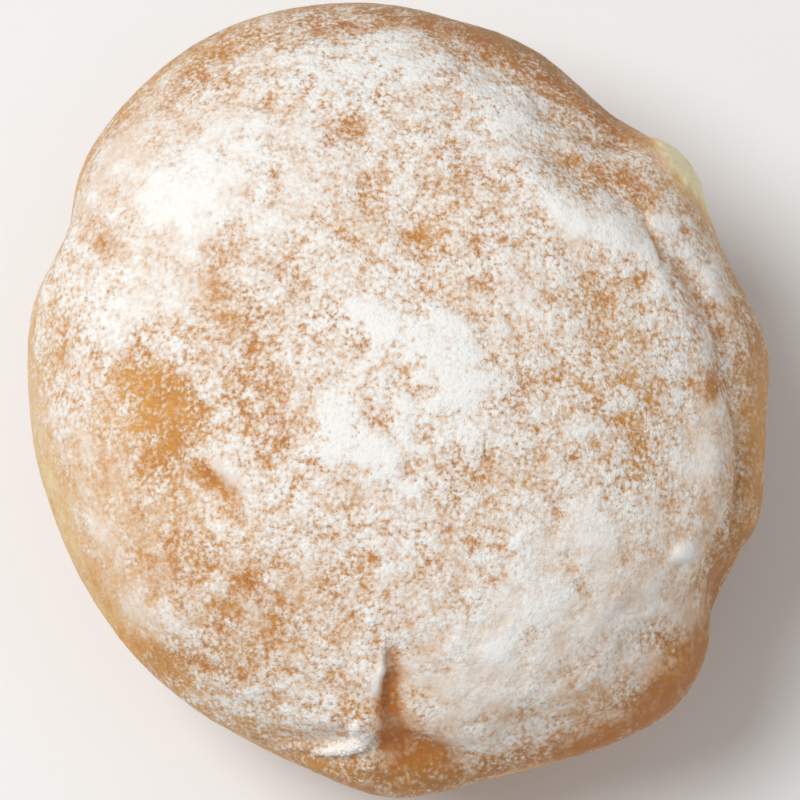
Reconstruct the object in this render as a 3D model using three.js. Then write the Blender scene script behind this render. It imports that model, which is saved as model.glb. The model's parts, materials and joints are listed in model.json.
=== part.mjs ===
// Mini berliner doughnut: one ball of yeast dough, risen, fried on both sides and dusted with sugar.
// Millimetres, +Z up. X runs to the right and Y to the back, seen by someone in front of the doughnut.
// The origin is on the surface that the doughnut rests on, under the middle of its outline.
import * as THREE from "three";
import { ImprovedNoise } from "three/addons/math/ImprovedNoise.js";
import { mergeVertices } from "three/addons/utils/BufferGeometryUtils.js";

// Driving dimensions of the plain bun, before its lobes and folds.
const MEAN_RADIUS = 27.6; // of the widest section, seen from above
const OVAL = 1.6; // how much longer the bun is along its long axis than its mean radius
const OVAL_AZIMUTH = 116; // degrees from +X to the long axis, turning towards +Y
const WAIST_HEIGHT = 16.2; // widest section above the table
const CROWN_RISE = 19.8; // top of the dome above the widest section
const BELLY_DROP = 17.3; // underside below the widest section, before it settles flat
const CROWN_FULLNESS = 0.88; // 1 is an ellipse, less is fuller at the shoulder
const BELLY_FULLNESS = 0.9;
const SETTLE = 0.6; // height over which the underside eases into its flat spot

// Fineness of the faceted skin: each of the 20 starting triangles is split into (SKIN_SPLITS + 1) squared.
const SKIN_SPLITS = 19;
const GATHER = 0.55; // share by which the facets are drawn in towards the front crease
const GATHER_SPREAD = 34; // degrees

// Unevenness from rolling and proving the dough by hand.
const SWELL_SIZE = 17; // distance from one broad swell to the next
const SWELL_HEIGHT = 0.42;
const DIMPLE_SIZE = 6.5; // distance from one shallow dimple to the next
const DIMPLE_HEIGHT = 0.16;
const NOISE_START = 4.7; // where in the noise the skin is cut out

// Bulges and nicks of the outline, seen from above: azimuth and spread in degrees, reach in millimetres.
const OUTLINE_LOBES = [
  { place: "right end of the shoulder fold", azimuth: 6, spread: 6, reach: 0.45 },
  { place: "hollow before the blister", azimuth: 23, spread: 9, reach: -0.65 },
  { place: "pale blister", azimuth: 39, spread: 6.5, reach: 0.6 },
  { place: "flat behind the blister", azimuth: 54, spread: 12, reach: -1.2 },
  { place: "back flank", azimuth: 80, spread: 12, reach: -0.45 },
  { place: "back left shoulder", azimuth: 112, spread: 13, reach: 0.45 },
  { place: "nick between the two left lobes", azimuth: 155, spread: 7, reach: -1.4 },
  { place: "left lobe", azimuth: 221, spread: 18, reach: 0.45 },
  { place: "left front flank", azimuth: 250, spread: 9, reach: -0.5 },
  { place: "front nub under the fold", azimuth: 268.5, spread: 6, reach: 0.5 },
  { place: "flat beside the front fold", azimuth: 286, spread: 9, reach: -0.8 },
  { place: "front right lobe", azimuth: 311, spread: 9, reach: 1.1 },
  { place: "nick under the shoulder fold", azimuth: 329, spread: 6.5, reach: -2.3 },
  { place: "right flank", azimuth: 350, spread: 14, reach: -0.85 },
];
const LOBE_LATITUDE = 6; // where each lobe reaches furthest
const LOBE_TALLNESS = 2.7; // spread of a lobe up and down the side, over its spread along the outline

// The collar: the shallow groove just under the waist, between the two halves that were fried in turn.
const COLLAR_LATITUDE = -7;
const COLLAR_WAVER = 9; // degrees of latitude by which the groove wanders
const COLLAR_WAVES = 1.1; // how often it wanders, as the radius of a ring through the noise
const COLLAR_WIDTH = 6; // degrees of latitude
const COLLAR_DEPTH = 0.5;
const CAP_LIP = 0.25; // how far the edge of the cap stands proud above the groove
const CAP_LIP_RISE = 8.5; // degrees of latitude from the groove up to that edge
const CAP_LIP_WIDTH = 6;

// The front fold: the edge of the cap drawn up in a low arch over the front nub.
const FRONT_FOLD_AZIMUTH = 268;
const FRONT_FOLD_LATITUDE = 23; // at the middle of the arch
const FRONT_FOLD_REACH = 17; // degrees of azimuth from the middle of the arch to its feet
const FRONT_FOLD_DROOP = 13; // degrees of latitude from the middle down to the feet
const FRONT_FOLD_DEPTH = 1.1;
const FRONT_FOLD_WIDTH = 5.5; // degrees of latitude
const FRONT_FOLD_LIP = 0.35;
const FRONT_FOLD_LIP_RISE = 8;

// The shoulder fold: a trough that climbs from the right flank to the back of the dome.
const SHOULDER_START = { azimuth: -35, latitude: 23 };
const SHOULDER_END = { azimuth: 62, latitude: 51 };
const SHOULDER_FADE = 13; // degrees of azimuth over which it dies out at each end
const SHOULDER_FLANK_DEPTH = 0.95;
const SHOULDER_BACK_DEPTH = 0.4;
const SHOULDER_WIDTH = 5.2; // degrees of latitude
const SHOULDER_RIDGE = 0.42; // height of the ridge on its upper side
const SHOULDER_RIDGE_RISE = 9.5;
const SHOULDER_RIDGE_WIDTH = 6;

// The crease that runs up the front of the dome from the front bay, its left side lapped over its right.
const CREASE_AZIMUTH = 267.5;
const CREASE_LOW_LATITUDE = 17;
const CREASE_HIGH_LATITUDE = 45;
const CREASE_FADE = 8; // degrees of latitude over which it dies out at each end
const CREASE_LIP = 0.35; // height of the lapped edge
const CREASE_LIP_WIDTH = 2.6;
const CREASE_VALLEY = 0.8; // depth beside that edge
const CREASE_VALLEY_TOP_WIDTH = 2.0;
const CREASE_VALLEY_FOOT_WIDTH = 4.2;
const CREASE_EDGE = 1.0; // distance over which the edge falls to the valley

// Small dents and swellings of the dome: middle, half length, half width, turn in degrees from +X, height.
const DOME_MARKS = [
  { place: "nick left of the crown", x: -12.6, y: -9.8, long: 2.4, wide: 1.4, turn: -49, height: -0.6 },
  { place: "lip over that nick", x: -11.2, y: -8.6, long: 2.6, wide: 1.4, turn: -49, height: 0.3 },
  { place: "hollow behind the crown", x: 0.5, y: 9.2, long: 4.2, wide: 2.2, turn: -55, height: -0.45 },
  { place: "swelling of the crown", x: -1.0, y: -6.5, long: 9.0, wide: 6.0, turn: 35, height: 0.35 },
];

const DEGREE = Math.PI / 180;
const noise = new ImprovedNoise();

const bell = (offset, spread) => Math.exp(-((offset / spread) ** 2));
const total = (values) => values.reduce((sum, value) => sum + value, 0);
const turnBetween = (from, to) => ((((to - from) % 360) + 540) % 360) - 180;

// 0 below low, 1 above high, and a smooth ramp between them.
const ramp = (value, low, high) => THREE.MathUtils.smoothstep(value, low, high);

// A power that keeps its sign, for the superellipse of the bun's side view.
const fullPower = (value, power) => Math.sign(value) * Math.abs(value) ** power;

// What one lobe adds to the radius of the outline.
function lobeReach(lobe, azimuth, latitude) {
  const along = bell(turnBetween(lobe.azimuth, azimuth), lobe.spread);
  return lobe.reach * along * bell(latitude - LOBE_LATITUDE, lobe.spread * LOBE_TALLNESS);
}

// Radius of the outline at a latitude: the oval, with lobes that die out up and down the side.
function outlineRadius(azimuth, latitude) {
  const oval = OVAL * Math.cos(2 * turnBetween(OVAL_AZIMUTH, azimuth) * DEGREE);
  const lobes = OUTLINE_LOBES.map((lobe) => lobeReach(lobe, azimuth, latitude));
  return MEAN_RADIUS + oval + total(lobes);
}

// The groove of the collar and the lip of the cap above it.
function collarRelief(azimuth, latitude) {
  const east = COLLAR_WAVES * Math.cos(azimuth * DEGREE);
  const north = COLLAR_WAVES * Math.sin(azimuth * DEGREE);
  const waver = COLLAR_WAVER * noise.noise(NOISE_START + east, NOISE_START + north, NOISE_START);
  const above = latitude - COLLAR_LATITUDE - waver;
  return CAP_LIP * bell(above - CAP_LIP_RISE, CAP_LIP_WIDTH) - COLLAR_DEPTH * bell(above, COLLAR_WIDTH);
}

// The arched groove of the front fold and the lip of the cap above it.
function frontFoldRelief(azimuth, latitude) {
  const along = turnBetween(FRONT_FOLD_AZIMUTH, azimuth) / FRONT_FOLD_REACH;
  const above = latitude - FRONT_FOLD_LATITUDE + FRONT_FOLD_DROOP * along ** 2;
  const lip = FRONT_FOLD_LIP * bell(above - FRONT_FOLD_LIP_RISE, FRONT_FOLD_WIDTH);
  return bell(along ** 2, 1) * (lip - FRONT_FOLD_DEPTH * bell(above, FRONT_FOLD_WIDTH));
}

// The trough of the shoulder fold and the ridge above it.
function shoulderRelief(azimuth, latitude) {
  const { azimuth: first, latitude: low } = SHOULDER_START;
  const { azimuth: last, latitude: high } = SHOULDER_END;
  const along = turnBetween(0, azimuth);
  const climbed = ramp(along, first, last);
  const above = latitude - low - (high - low) * climbed;
  const share =
    ramp(along, first - SHOULDER_FADE, first + SHOULDER_FADE) *
    (1 - ramp(along, last - SHOULDER_FADE, last + SHOULDER_FADE));
  const ridge = SHOULDER_RIDGE * bell(above - SHOULDER_RIDGE_RISE, SHOULDER_RIDGE_WIDTH);
  const depth = THREE.MathUtils.lerp(SHOULDER_FLANK_DEPTH, SHOULDER_BACK_DEPTH, climbed);
  return share * (ridge - depth * bell(above, SHOULDER_WIDTH));
}

// The front crease: a lapped edge on its left, and on its right a valley that opens out downwards.
function creaseRelief(azimuth, latitude) {
  const across = turnBetween(CREASE_AZIMUTH, azimuth) * DEGREE * MEAN_RADIUS * Math.cos(latitude * DEGREE);
  const share =
    ramp(latitude, CREASE_LOW_LATITUDE - CREASE_FADE, CREASE_LOW_LATITUDE + CREASE_FADE) *
    (1 - ramp(latitude, CREASE_HIGH_LATITUDE - CREASE_FADE, CREASE_HIGH_LATITUDE + CREASE_FADE));
  const upTheCrease = ramp(latitude, CREASE_LOW_LATITUDE, CREASE_HIGH_LATITUDE);
  const valleyWidth = THREE.MathUtils.lerp(CREASE_VALLEY_FOOT_WIDTH, CREASE_VALLEY_TOP_WIDTH, upTheCrease);
  const rightOfEdge = ramp(across, -CREASE_EDGE, CREASE_EDGE);
  const lip = CREASE_LIP * bell(across, CREASE_LIP_WIDTH) * (1 - rightOfEdge);
  const valley = CREASE_VALLEY * bell(across, valleyWidth) * rightOfEdge;
  return share * (lip - valley);
}

const FOLD_RELIEFS = [collarRelief, frontFoldRelief, shoulderRelief, creaseRelief];

// Dents and swellings of the dome at a point of the upper half.
function domeMarks(point) {
  return total(
    DOME_MARKS.map((mark) => {
      const right = point.x - mark.x;
      const back = point.y - mark.y;
      const cosine = Math.cos(mark.turn * DEGREE);
      const sine = Math.sin(mark.turn * DEGREE);
      const along = right * cosine + back * sine;
      const across = back * cosine - right * sine;
      return mark.height * bell(along, mark.long) * bell(across, mark.wide);
    }),
  );
}

// Broad swells and shallow dimples all over.
function handRolled(point) {
  const waves = (size) => {
    const { x, y, z } = point.clone().divideScalar(size);
    return noise.noise(NOISE_START + x, NOISE_START + y, z);
  };
  return SWELL_HEIGHT * waves(SWELL_SIZE) + DIMPLE_HEIGHT * waves(DIMPLE_SIZE);
}

// The weight of the dough presses what would reach below the table into a flat spot at height 0.
function settled(height) {
  if (height <= -SETTLE) return 0;
  return height < SETTLE ? (height + SETTLE) ** 2 / (4 * SETTLE) : height;
}

// The point of the crust in a direction from the middle of the bun.
function crustPoint(direction) {
  const azimuth = Math.atan2(direction.y, direction.x) / DEGREE;
  const latitude = Math.asin(THREE.MathUtils.clamp(direction.z, -1, 1)) / DEGREE;
  const upper = direction.z >= 0;
  const fullness = upper ? CROWN_FULLNESS : BELLY_FULLNESS;
  const rise = upper ? CROWN_RISE : BELLY_DROP;

  const radius = outlineRadius(azimuth, latitude) * fullPower(Math.cos(latitude * DEGREE), fullness);
  const height = rise * fullPower(direction.z, fullness);
  const point = new THREE.Vector3(
    radius * Math.cos(azimuth * DEGREE),
    radius * Math.sin(azimuth * DEGREE),
    height,
  );
  const outward = new THREE.Vector3(point.x, point.y, height * (MEAN_RADIUS / rise) ** 2).normalize();

  const folds = FOLD_RELIEFS.map((relief) => relief(azimuth, latitude));
  const marks = upper ? domeMarks(point) : 0;
  point.addScaledVector(outward, total(folds) + marks + handRolled(point));
  point.z = settled(point.z + WAIST_HEIGHT);
  return point;
}

// Draws a direction in towards the middle of the front crease, so that the facets there are the smallest.
function gathered(direction) {
  const middle = (CREASE_LOW_LATITUDE + CREASE_HIGH_LATITUDE) / 2;
  const level = Math.cos(middle * DEGREE);
  const crease = new THREE.Vector3(
    level * Math.cos(CREASE_AZIMUTH * DEGREE),
    level * Math.sin(CREASE_AZIMUTH * DEGREE),
    Math.sin(middle * DEGREE),
  );
  const share = GATHER * bell(direction.angleTo(crease) / DEGREE, GATHER_SPREAD);
  return direction.lerp(crease, share).normalize();
}

// The whole bun as one closed skin, with its outline centred over the origin.
function doughGeometry() {
  const sphere = new THREE.IcosahedronGeometry(1, SKIN_SPLITS);
  sphere.deleteAttribute("normal");
  sphere.deleteAttribute("uv");
  const skin = mergeVertices(sphere);
  const places = skin.getAttribute("position");
  const direction = new THREE.Vector3();
  for (let i = 0; i < places.count; i++) {
    direction.fromBufferAttribute(places, i).normalize();
    const point = crustPoint(gathered(direction));
    places.setXYZ(i, point.x, point.y, point.z);
  }
  skin.computeBoundingBox();
  const middle = skin.boundingBox.getCenter(new THREE.Vector3());
  skin.translate(-middle.x, -middle.y, -skin.boundingBox.min.z);
  skin.computeVertexNormals();
  return skin;
}

const sugaredCrust = new THREE.MeshStandardMaterial({ color: 0xdfc6a8, roughness: 0.85, metalness: 0 });

const dough = new THREE.Mesh(doughGeometry(), sugaredCrust);
dough.name = "dough";

const berliner = new THREE.Group();
berliner.add(dough);

export default berliner;
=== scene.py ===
"""Looks of a mini berliner doughnut: a fried crust, a paler collar and a dusting of icing sugar.

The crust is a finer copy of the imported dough, with sharper folds and with the relief of the sugar on it.
Crumbs and caked lumps of sugar, which stand off the crust, are small closed shapes on it.
"""

import json
import math
from typing import NamedTuple

import bpy
import numpy as np
from bpy.props import FloatProperty, FloatVectorProperty, IntProperty, PointerProperty
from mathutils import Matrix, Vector, noise
from mathutils.bvhtree import BVHTree

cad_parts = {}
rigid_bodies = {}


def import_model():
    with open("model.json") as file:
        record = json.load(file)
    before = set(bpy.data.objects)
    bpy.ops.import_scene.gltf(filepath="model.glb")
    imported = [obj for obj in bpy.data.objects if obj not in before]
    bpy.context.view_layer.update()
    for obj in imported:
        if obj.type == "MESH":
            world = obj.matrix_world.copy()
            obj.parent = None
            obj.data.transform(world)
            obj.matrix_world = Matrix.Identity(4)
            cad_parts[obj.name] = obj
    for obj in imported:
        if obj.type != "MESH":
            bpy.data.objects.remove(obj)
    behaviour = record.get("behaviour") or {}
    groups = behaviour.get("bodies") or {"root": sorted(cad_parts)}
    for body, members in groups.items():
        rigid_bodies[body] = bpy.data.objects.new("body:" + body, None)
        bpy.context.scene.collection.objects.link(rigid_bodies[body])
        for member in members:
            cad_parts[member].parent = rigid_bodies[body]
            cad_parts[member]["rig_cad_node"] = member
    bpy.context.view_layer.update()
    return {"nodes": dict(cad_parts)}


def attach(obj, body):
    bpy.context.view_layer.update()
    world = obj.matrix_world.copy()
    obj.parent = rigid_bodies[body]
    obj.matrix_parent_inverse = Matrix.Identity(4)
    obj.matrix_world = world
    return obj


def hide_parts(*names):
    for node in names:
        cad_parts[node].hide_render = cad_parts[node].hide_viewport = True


bl_info = {
    "name": "Mini Berliner",
    "version": (1, 0, 0),
    "blender": (4, 5, 0),
    "location": "3D Viewport > Sidebar > Berliner",
    "description": "Dresses the packed dough of a mini berliner with its crust and icing sugar",
    "category": "Add Mesh",
}

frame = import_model()

MM = 0.001
ROUND_CENTRE = np.array([0, 0, 16.2]) * MM  # middle of the bun at its widest height
ROUND_RADII = np.array([26.6, 28.9, 19.9]) * MM  # half sizes of the bun without its folds
SUGAR_FROM = np.array([0, -0.12, 0.993])  # where the sugar fell from: above, and a little from the front
PHOTO_SIDE = 800  # pixels along each side of the photograph
SENSOR = 36.0  # millimetres across the camera's sensor
WELD = 0.001 * MM  # corners of packed triangles that are closer than this are one point
LEAST_WEIGHT = 0.001  # points that weigh less than this aren't moved
FLOOR_MARGIN = 1 * MM  # height over which the pores begin, to keep the flat spot flat
FLOOR_GAP = 0.02 * MM  # the floor lies this far below the flat spot
FLOOR_SIDE = 4.0  # metres
LIGHT_SIZE = 0.3  # metres across each light


def linear(red, green, blue):
    """An sRGB colour as it is picked on a screen, from 0 to 255, in the linear values that shaders take."""
    shares = np.array([red, green, blue]) / 255
    return tuple(np.where(shares <= 0.04045, shares / 12.92, ((shares + 0.055) / 1.055) ** 2.4).tolist())


class Spot(NamedTuple):
    """A patch of the surface: the pixel of its middle, half sizes in millimetres, turn and strength."""

    place: str
    pixel: tuple
    long: float
    wide: float
    turn: float  # degrees from the picture's right towards its top
    amount: float


# Where more or less sugar lies than the even dusting.
SUGAR_SPOTS = (
    Spot("drift at the upper left", (214, 178), 7.0, 5.0, 60, 0.25),
    Spot("foot of that drift", (180, 204), 2.6, 2.0, 20, 0.2),
    Spot("left of that drift", (112, 312), 3.6, 2.4, 75, 0.22),
    Spot("drift at the back", (400, 68), 5.6, 2.0, -6, 0.26),
    Spot("back left", (330, 58), 2.6, 1.4, 20, 0.1),
    Spot("drift on the back edge of the crown", (505, 125), 2.6, 1.5, -50, 0.38),
    Spot("drift left of the crown's middle", (378, 320), 2.0, 1.4, 30, 0.5),
    Spot("drift right of the crown's middle", (446, 345), 2.9, 1.8, -28, 0.52),
    Spot("foot of that drift", (455, 380), 1.8, 1.1, 80, 0.36),
    Spot("long drift before the crown", (345, 412), 1.9, 1.1, 60, 0.5),
    Spot("middle of the long drift", (336, 450), 1.6, 1.3, 0, 0.55),
    Spot("foot of the long drift", (384, 466), 2.4, 1.4, -55, 0.52),
    Spot("dot of sugar before the crown", (455, 433), 0.9, 0.8, 0, 0.45),
    Spot("between the drifts", (380, 368), 1.7, 1.3, 0, 0.12),
    Spot("film between the drifts", (418, 380), 1.7, 1.2, 0, 0.2),
    Spot("film before the crown", (424, 432), 1.3, 0.9, 0, 0.25),
    Spot("crown", (415, 390), 7.0, 6.0, 0, 0.03),
    Spot("ridge of the shoulder fold", (585, 217), 4.6, 1.4, -30, 0.32),
    Spot("lower end of that ridge", (640, 255), 2.8, 1.3, -52, 0.34),
    Spot("lobe under the ridge", (712, 278), 2.2, 1.0, -65, 0.32),
    Spot("upper lobe under the ridge", (668, 222), 1.6, 1.2, -35, 0.24),
    Spot("heap on the front ledge", (340, 748), 1.0, 0.3, 10, 0.5),
    Spot("right end of that heap", (358, 741), 0.7, 0.42, 40, 0.6),
    Spot("left end of that heap", (318, 751), 1.1, 0.2, 0, 0.45),
    Spot("knob over that heap", (356, 727), 0.45, 0.5, 0, 0.5),
    Spot("top of the crease's edge", (382, 655), 0.9, 0.2, 87, 0.3),
    Spot("edge of the crease", (379, 678), 1.4, 0.28, 84, 0.3),
    Spot("above the front ledge", (290, 725), 3.0, 1.0, -25, 0.18),
    Spot("right of that", (366, 706), 1.3, 1.0, 0, -0.28),
    Spot("left of the crease", (325, 665), 2.8, 2.0, 30, 0.15),
    Spot("film at the lower right", (550, 585), 5.0, 3.4, 45, 0.14),
    Spot("upper end of that film", (600, 520), 2.0, 1.6, 30, 0.2),
    Spot("lower end of that film", (510, 655), 2.6, 2.0, 20, 0.16),
    Spot("right end of that film", (625, 640), 2.4, 1.8, 60, 0.06),
    Spot("upper mound of that film", (521, 545), 1.7, 1.0, 30, 0.16),
    Spot("middle mound of that film", (556, 600), 1.7, 1.1, 45, 0.16),
    Spot("lower mound of that film", (505, 638), 1.8, 1.1, 20, 0.18),
    Spot("specks in that film", (588, 588), 0.9, 0.5, 0, -0.18),
    Spot("specks above them", (566, 556), 0.7, 0.4, 20, -0.15),
    Spot("specks left of them", (535, 640), 0.8, 0.5, 45, -0.15),
    Spot("bare patch in that film's right", (667, 640), 1.4, 0.9, -50, -0.2),
    Spot("bare patch below it", (653, 684), 1.7, 0.9, 30, -0.2),
    Spot("above the nub", (672, 525), 2.0, 1.6, 0, 0.03),
    Spot("caked nub", (682, 554), 0.75, 0.65, 0, 0.36),
    Spot("cap of the nub", (682, 552), 0.8, 0.7, 0, 0.24),
    Spot("tail of the nub", (690, 575), 0.9, 0.3, -65, 0.14),
    Spot("edge of the right fold", (727, 460), 4.2, 0.5, 88, 0.08),
    Spot("under the right fold's film", (706, 530), 2.2, 1.0, 80, -0.1),
    Spot("glow left of the crown", (163, 412), 3.0, 2.3, -62, -0.58),
    Spot("top of that glow", (134, 378), 2.0, 1.2, -10, -0.38),
    Spot("foot of that glow", (163, 441), 1.7, 1.4, -80, -0.45),
    Spot("left of that glow", (100, 425), 1.6, 1.0, 80, -0.1),
    Spot("nick left of the crown", (217, 488), 2.1, 0.7, -42, -0.85),
    Spot("lip of the nick", (231, 470), 2.0, 0.4, -41, 0.12),
    Spot("bare patch above the nick", (232, 300), 2.8, 1.5, -60, -0.24),
    Spot("top of that patch", (215, 262), 1.6, 0.8, 50, -0.2),
    Spot("bare patch beside the glow", (268, 388), 3.2, 1.6, -75, -0.32),
    Spot("foot of that patch", (292, 442), 1.8, 1.2, 0, -0.25),
    Spot("bare patch at the front left", (245, 580), 2.3, 1.1, 35, -0.38),
    Spot("left end of that patch", (212, 610), 1.4, 0.9, 20, -0.18),
    Spot("bare patch under the nick", (180, 545), 3.0, 2.4, 0, -0.2),
    Spot("left of the nick", (125, 488), 7.5, 4.5, -72, -0.26),
    Spot("front left of the crown", (265, 630), 6.5, 4.5, 0, -0.22),
    Spot("upper bare dot behind the crown", (375, 172), 1.3, 1.0, 60, -0.32),
    Spot("lower bare dot behind the crown", (424, 240), 1.2, 0.8, -40, -0.6),
    Spot("between the bare dots", (385, 205), 2.4, 1.5, -50, -0.14),
    Spot("left of the bare dots", (345, 225), 2.4, 1.2, -60, -0.2),
    Spot("right of the bare dots", (470, 205), 2.4, 1.6, -30, -0.16),
    Spot("trough of the shoulder fold", (575, 165), 3.2, 0.9, -25, -0.32),
    Spot("lower end of the trough", (625, 190), 2.2, 0.9, -20, -0.32),
    Spot("foot of the ridge", (656, 248), 2.2, 0.4, -70, -0.55),
    Spot("below that foot", (697, 300), 2.2, 0.9, -55, -0.3),
    Spot("between the lobes", (680, 270), 1.4, 0.5, -40, -0.25),
    Spot("dot in the ridge", (641, 281), 0.6, 0.4, 25, -0.75),
    Spot("dot under the ridge", (686, 231), 0.35, 0.35, 0, -0.8),
    Spot("bare patch on the right", (645, 448), 2.4, 1.2, 80, -0.28),
    Spot("bare patch above it", (600, 325), 3.4, 1.7, -60, -0.16),
    Spot("crumbly patch on the right", (625, 395), 2.6, 2.0, 0, -0.15),
    Spot("bare patch at the right edge", (712, 385), 1.6, 0.8, 80, -0.55),
    Spot("bare patch right of the crown", (478, 470), 2.2, 1.2, -45, -0.24),
    Spot("small dot right of the crown", (550, 380), 1.4, 0.9, 0, -0.3),
    Spot("bare patch on the left edge", (112, 245), 2.0, 1.0, -40, -0.4),
    Spot("back dot", (350, 128), 1.2, 0.9, 0, -0.35),
    Spot("back left dot", (268, 102), 1.6, 1.0, -20, -0.16),
    Spot("back right dot", (462, 122), 1.2, 0.8, 0, -0.2),
    Spot("valley of the crease", (393, 686), 2.6, 0.65, 86, -0.95),
    Spot("dimple over the crease", (377, 628), 0.7, 0.3, 80, -0.5),
    Spot("front valley", (412, 745), 2.8, 1.2, -45, -0.7),
    Spot("between crease and front valley", (392, 726), 1.4, 0.7, 80, -0.75),
    Spot("right of the front valley", (490, 746), 3.0, 1.1, 14, 0.28),
    Spot("foot of the front valley", (412, 775), 2.6, 1.2, 0, -0.48),
    Spot("under the front ledge", (325, 772), 3.2, 0.7, -20, -0.2),
    Spot("pale blister", (691, 175), 2.5, 1.05, -54, -1.1),
    Spot("right lobe", (752, 440), 6.0, 1.4, 88, -0.36),
    Spot("lower end of the right lobe", (738, 548), 2.4, 1.3, 50, -0.3),
    Spot("back edge", (400, 14), 7.0, 1.3, 0, -0.12),
    Spot("left of the back edge", (325, 32), 4.8, 0.8, 8, -0.28),
    Spot("rim left of the back edge", (340, 9), 4.0, 0.5, 4, 0.22),
    Spot("rim at the back left", (248, 24), 3.0, 0.5, 24, 0.15),
    Spot("right of the back edge", (455, 30), 4.0, 1.2, -15, -0.3),
    Spot("back right edge", (538, 66), 6.0, 1.9, -40, -0.34),
    Spot("lower end of the back right edge", (609, 120), 3.0, 1.4, -40, -0.32),
    Spot("back left edge", (190, 82), 5.5, 1.4, 42, -0.33),
    Spot("left rim", (54, 352), 3.5, 0.9, 88, -0.12),
    Spot("left edge", (57, 495), 3.5, 0.85, -75, -0.42),
    Spot("lower left rim", (72, 548), 4.5, 1.0, -62, -0.16),
    Spot("lower end of the left edge", (90, 582), 4.0, 0.9, -57, -0.36),
    Spot("brown patch at the lower left", (160, 656), 2.8, 1.1, -26, -0.4),
    Spot("front right edge", (600, 743), 5.0, 1.1, 28, -0.36),
    Spot("lower right edge", (684, 666), 4.0, 1.4, 65, -0.3),
    Spot("cloud at the lower left", (148, 604), 2.2, 1.5, -30, 0.22),
    Spot("cream patch on the left", (105, 505), 2.2, 1.7, 0, 0.08),
    Spot("white dot below the glow", (165, 525), 1.2, 0.8, 0, 0.14),
    Spot("front left limb", (222, 712), 4.5, 1.5, -30, 0.22),
    Spot("wrinkle at the front left", (213, 669), 3.0, 0.35, -12, -0.36),
)

# Where the sugar lies in clumps with gaps between them.
CRUMBLY_SPOTS = (
    Spot("crown", (415, 400), 8.0, 7.0, 0, 0.42),
    Spot("right of the crown", (625, 410), 5.0, 4.0, 80, 0.08),
)

# Where a smooth veil of fine sugar evens out the specks.
VEIL_SPOTS = (
    Spot("lower right", (590, 600), 8.0, 6.0, 45, 0.65),
    Spot("right of the crease", (470, 680), 4.8, 3.4, 30, 0.5),
    Spot("left edge", (100, 505), 5.0, 8.0, -12, 0.55),
    Spot("cloud at the lower left", (147, 606), 2.4, 1.8, -30, 0.5),
    Spot("caked nub", (684, 552), 1.1, 1.0, 0, 0.7),
    Spot("upper left edge", (120, 150), 5.5, 1.6, 52, 0.5),
    Spot("lobe under the ridge", (712, 278), 2.4, 1.2, -65, 0.6),
    Spot("upper lobe under the ridge", (668, 222), 1.8, 1.4, -35, 0.6),
    Spot("pale blister", (688, 175), 3.4, 1.6, -55, 0.9),
    Spot("right lobe", (752, 450), 1.4, 6.0, 0, 0.3),
    Spot("beside the right fold", (711, 455), 5.5, 1.3, 88, 0.65),
    Spot("lower right edge", (678, 655), 4.2, 2.2, 65, 0.75),
    Spot("under the right fold", (712, 578), 3.0, 1.4, 60, 0.45),
    Spot("front right edge", (612, 732), 6.5, 1.7, 30, 0.6),
    Spot("lower right corner", (668, 698), 2.6, 1.7, 50, 0.5),
    Spot("ridge of the shoulder fold", (600, 230), 4.6, 1.5, -35, 0.4),
    Spot("upper left", (180, 200), 9.0, 7.0, 60, 0.52),
    Spot("valley of the crease", (398, 690), 3.0, 0.9, 84, 0.4),
    Spot("edge of the crease", (381, 672), 1.6, 0.3, 84, 0.6),
    Spot("front valley", (412, 750), 3.2, 1.7, -35, 0.7),
    Spot("nick left of the crown", (227, 476), 2.3, 0.6, -40, 0.8),
    Spot("front left", (262, 610), 5.0, 3.0, 30, 0.12),
    Spot("glow left of the crown", (150, 410), 4.5, 3.5, -65, -0.4),
    Spot("right of the crown", (630, 400), 5.0, 5.0, 0, -0.2),
    Spot("specks in the film", (588, 588), 1.1, 0.7, 0, -0.35),
    Spot("specks above them", (566, 556), 0.9, 0.6, 20, -0.3),
    Spot("specks left of them", (535, 640), 1.0, 0.7, 45, -0.3),
    Spot("bare patch in the film's right", (667, 640), 1.6, 1.1, -50, -0.3),
    Spot("bare patch below it", (653, 684), 1.9, 1.1, 30, -0.3),
)

# Where the crust is browner, or paler below zero, than the rest of its height. In the valleys of the crease
# and the front, and under the right fold, the browner crust is painted shade.
BROWNING_AND_SHADE_SPOTS = (
    Spot("pale blister", (692, 174), 3.4, 1.6, -54, -1.4),
    Spot("glow left of the crown", (155, 412), 4.0, 3.0, -68, -0.22),
    Spot("left flank", (105, 490), 9.0, 5.0, -72, -0.2),
    Spot("brown patch at the lower left", (165, 662), 3.0, 1.6, -22, 0.25),
    # painted shade: browner crust in the shaded valleys of the crease and the front
    Spot("valley of the crease", (391, 690), 3.0, 0.8, 86, 0.3),
    Spot("front valley", (405, 755), 4.0, 2.6, 20, 0.3),
    Spot("right lobe", (755, 440), 6.0, 1.8, 88, -0.22),
    Spot("back right edge", (540, 60), 6.0, 1.8, -38, 0.5),
    Spot("back edge", (400, 14), 7.0, 1.6, 0, 0.35),
    Spot("front right edge", (640, 725), 7.0, 1.8, 40, 0.5),
    Spot("front left edge", (285, 757), 3.5, 1.5, -28, 0.4),
    Spot("right of the crown", (630, 390), 6.0, 5.0, 80, -0.2),
    Spot("front edge", (520, 766), 4.0, 1.4, 14, 0.5),
    # painted shade: browner crust under the right fold and along the foot of its lobe
    Spot("under the right fold", (713, 600), 2.8, 1.4, 62, 0.45),
    Spot("foot of the right lobe", (722, 565), 2.4, 1.6, 50, 0.45),
    Spot("strip below that foot", (721, 575), 3.4, 1.3, 66, 0.6),
)

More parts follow.
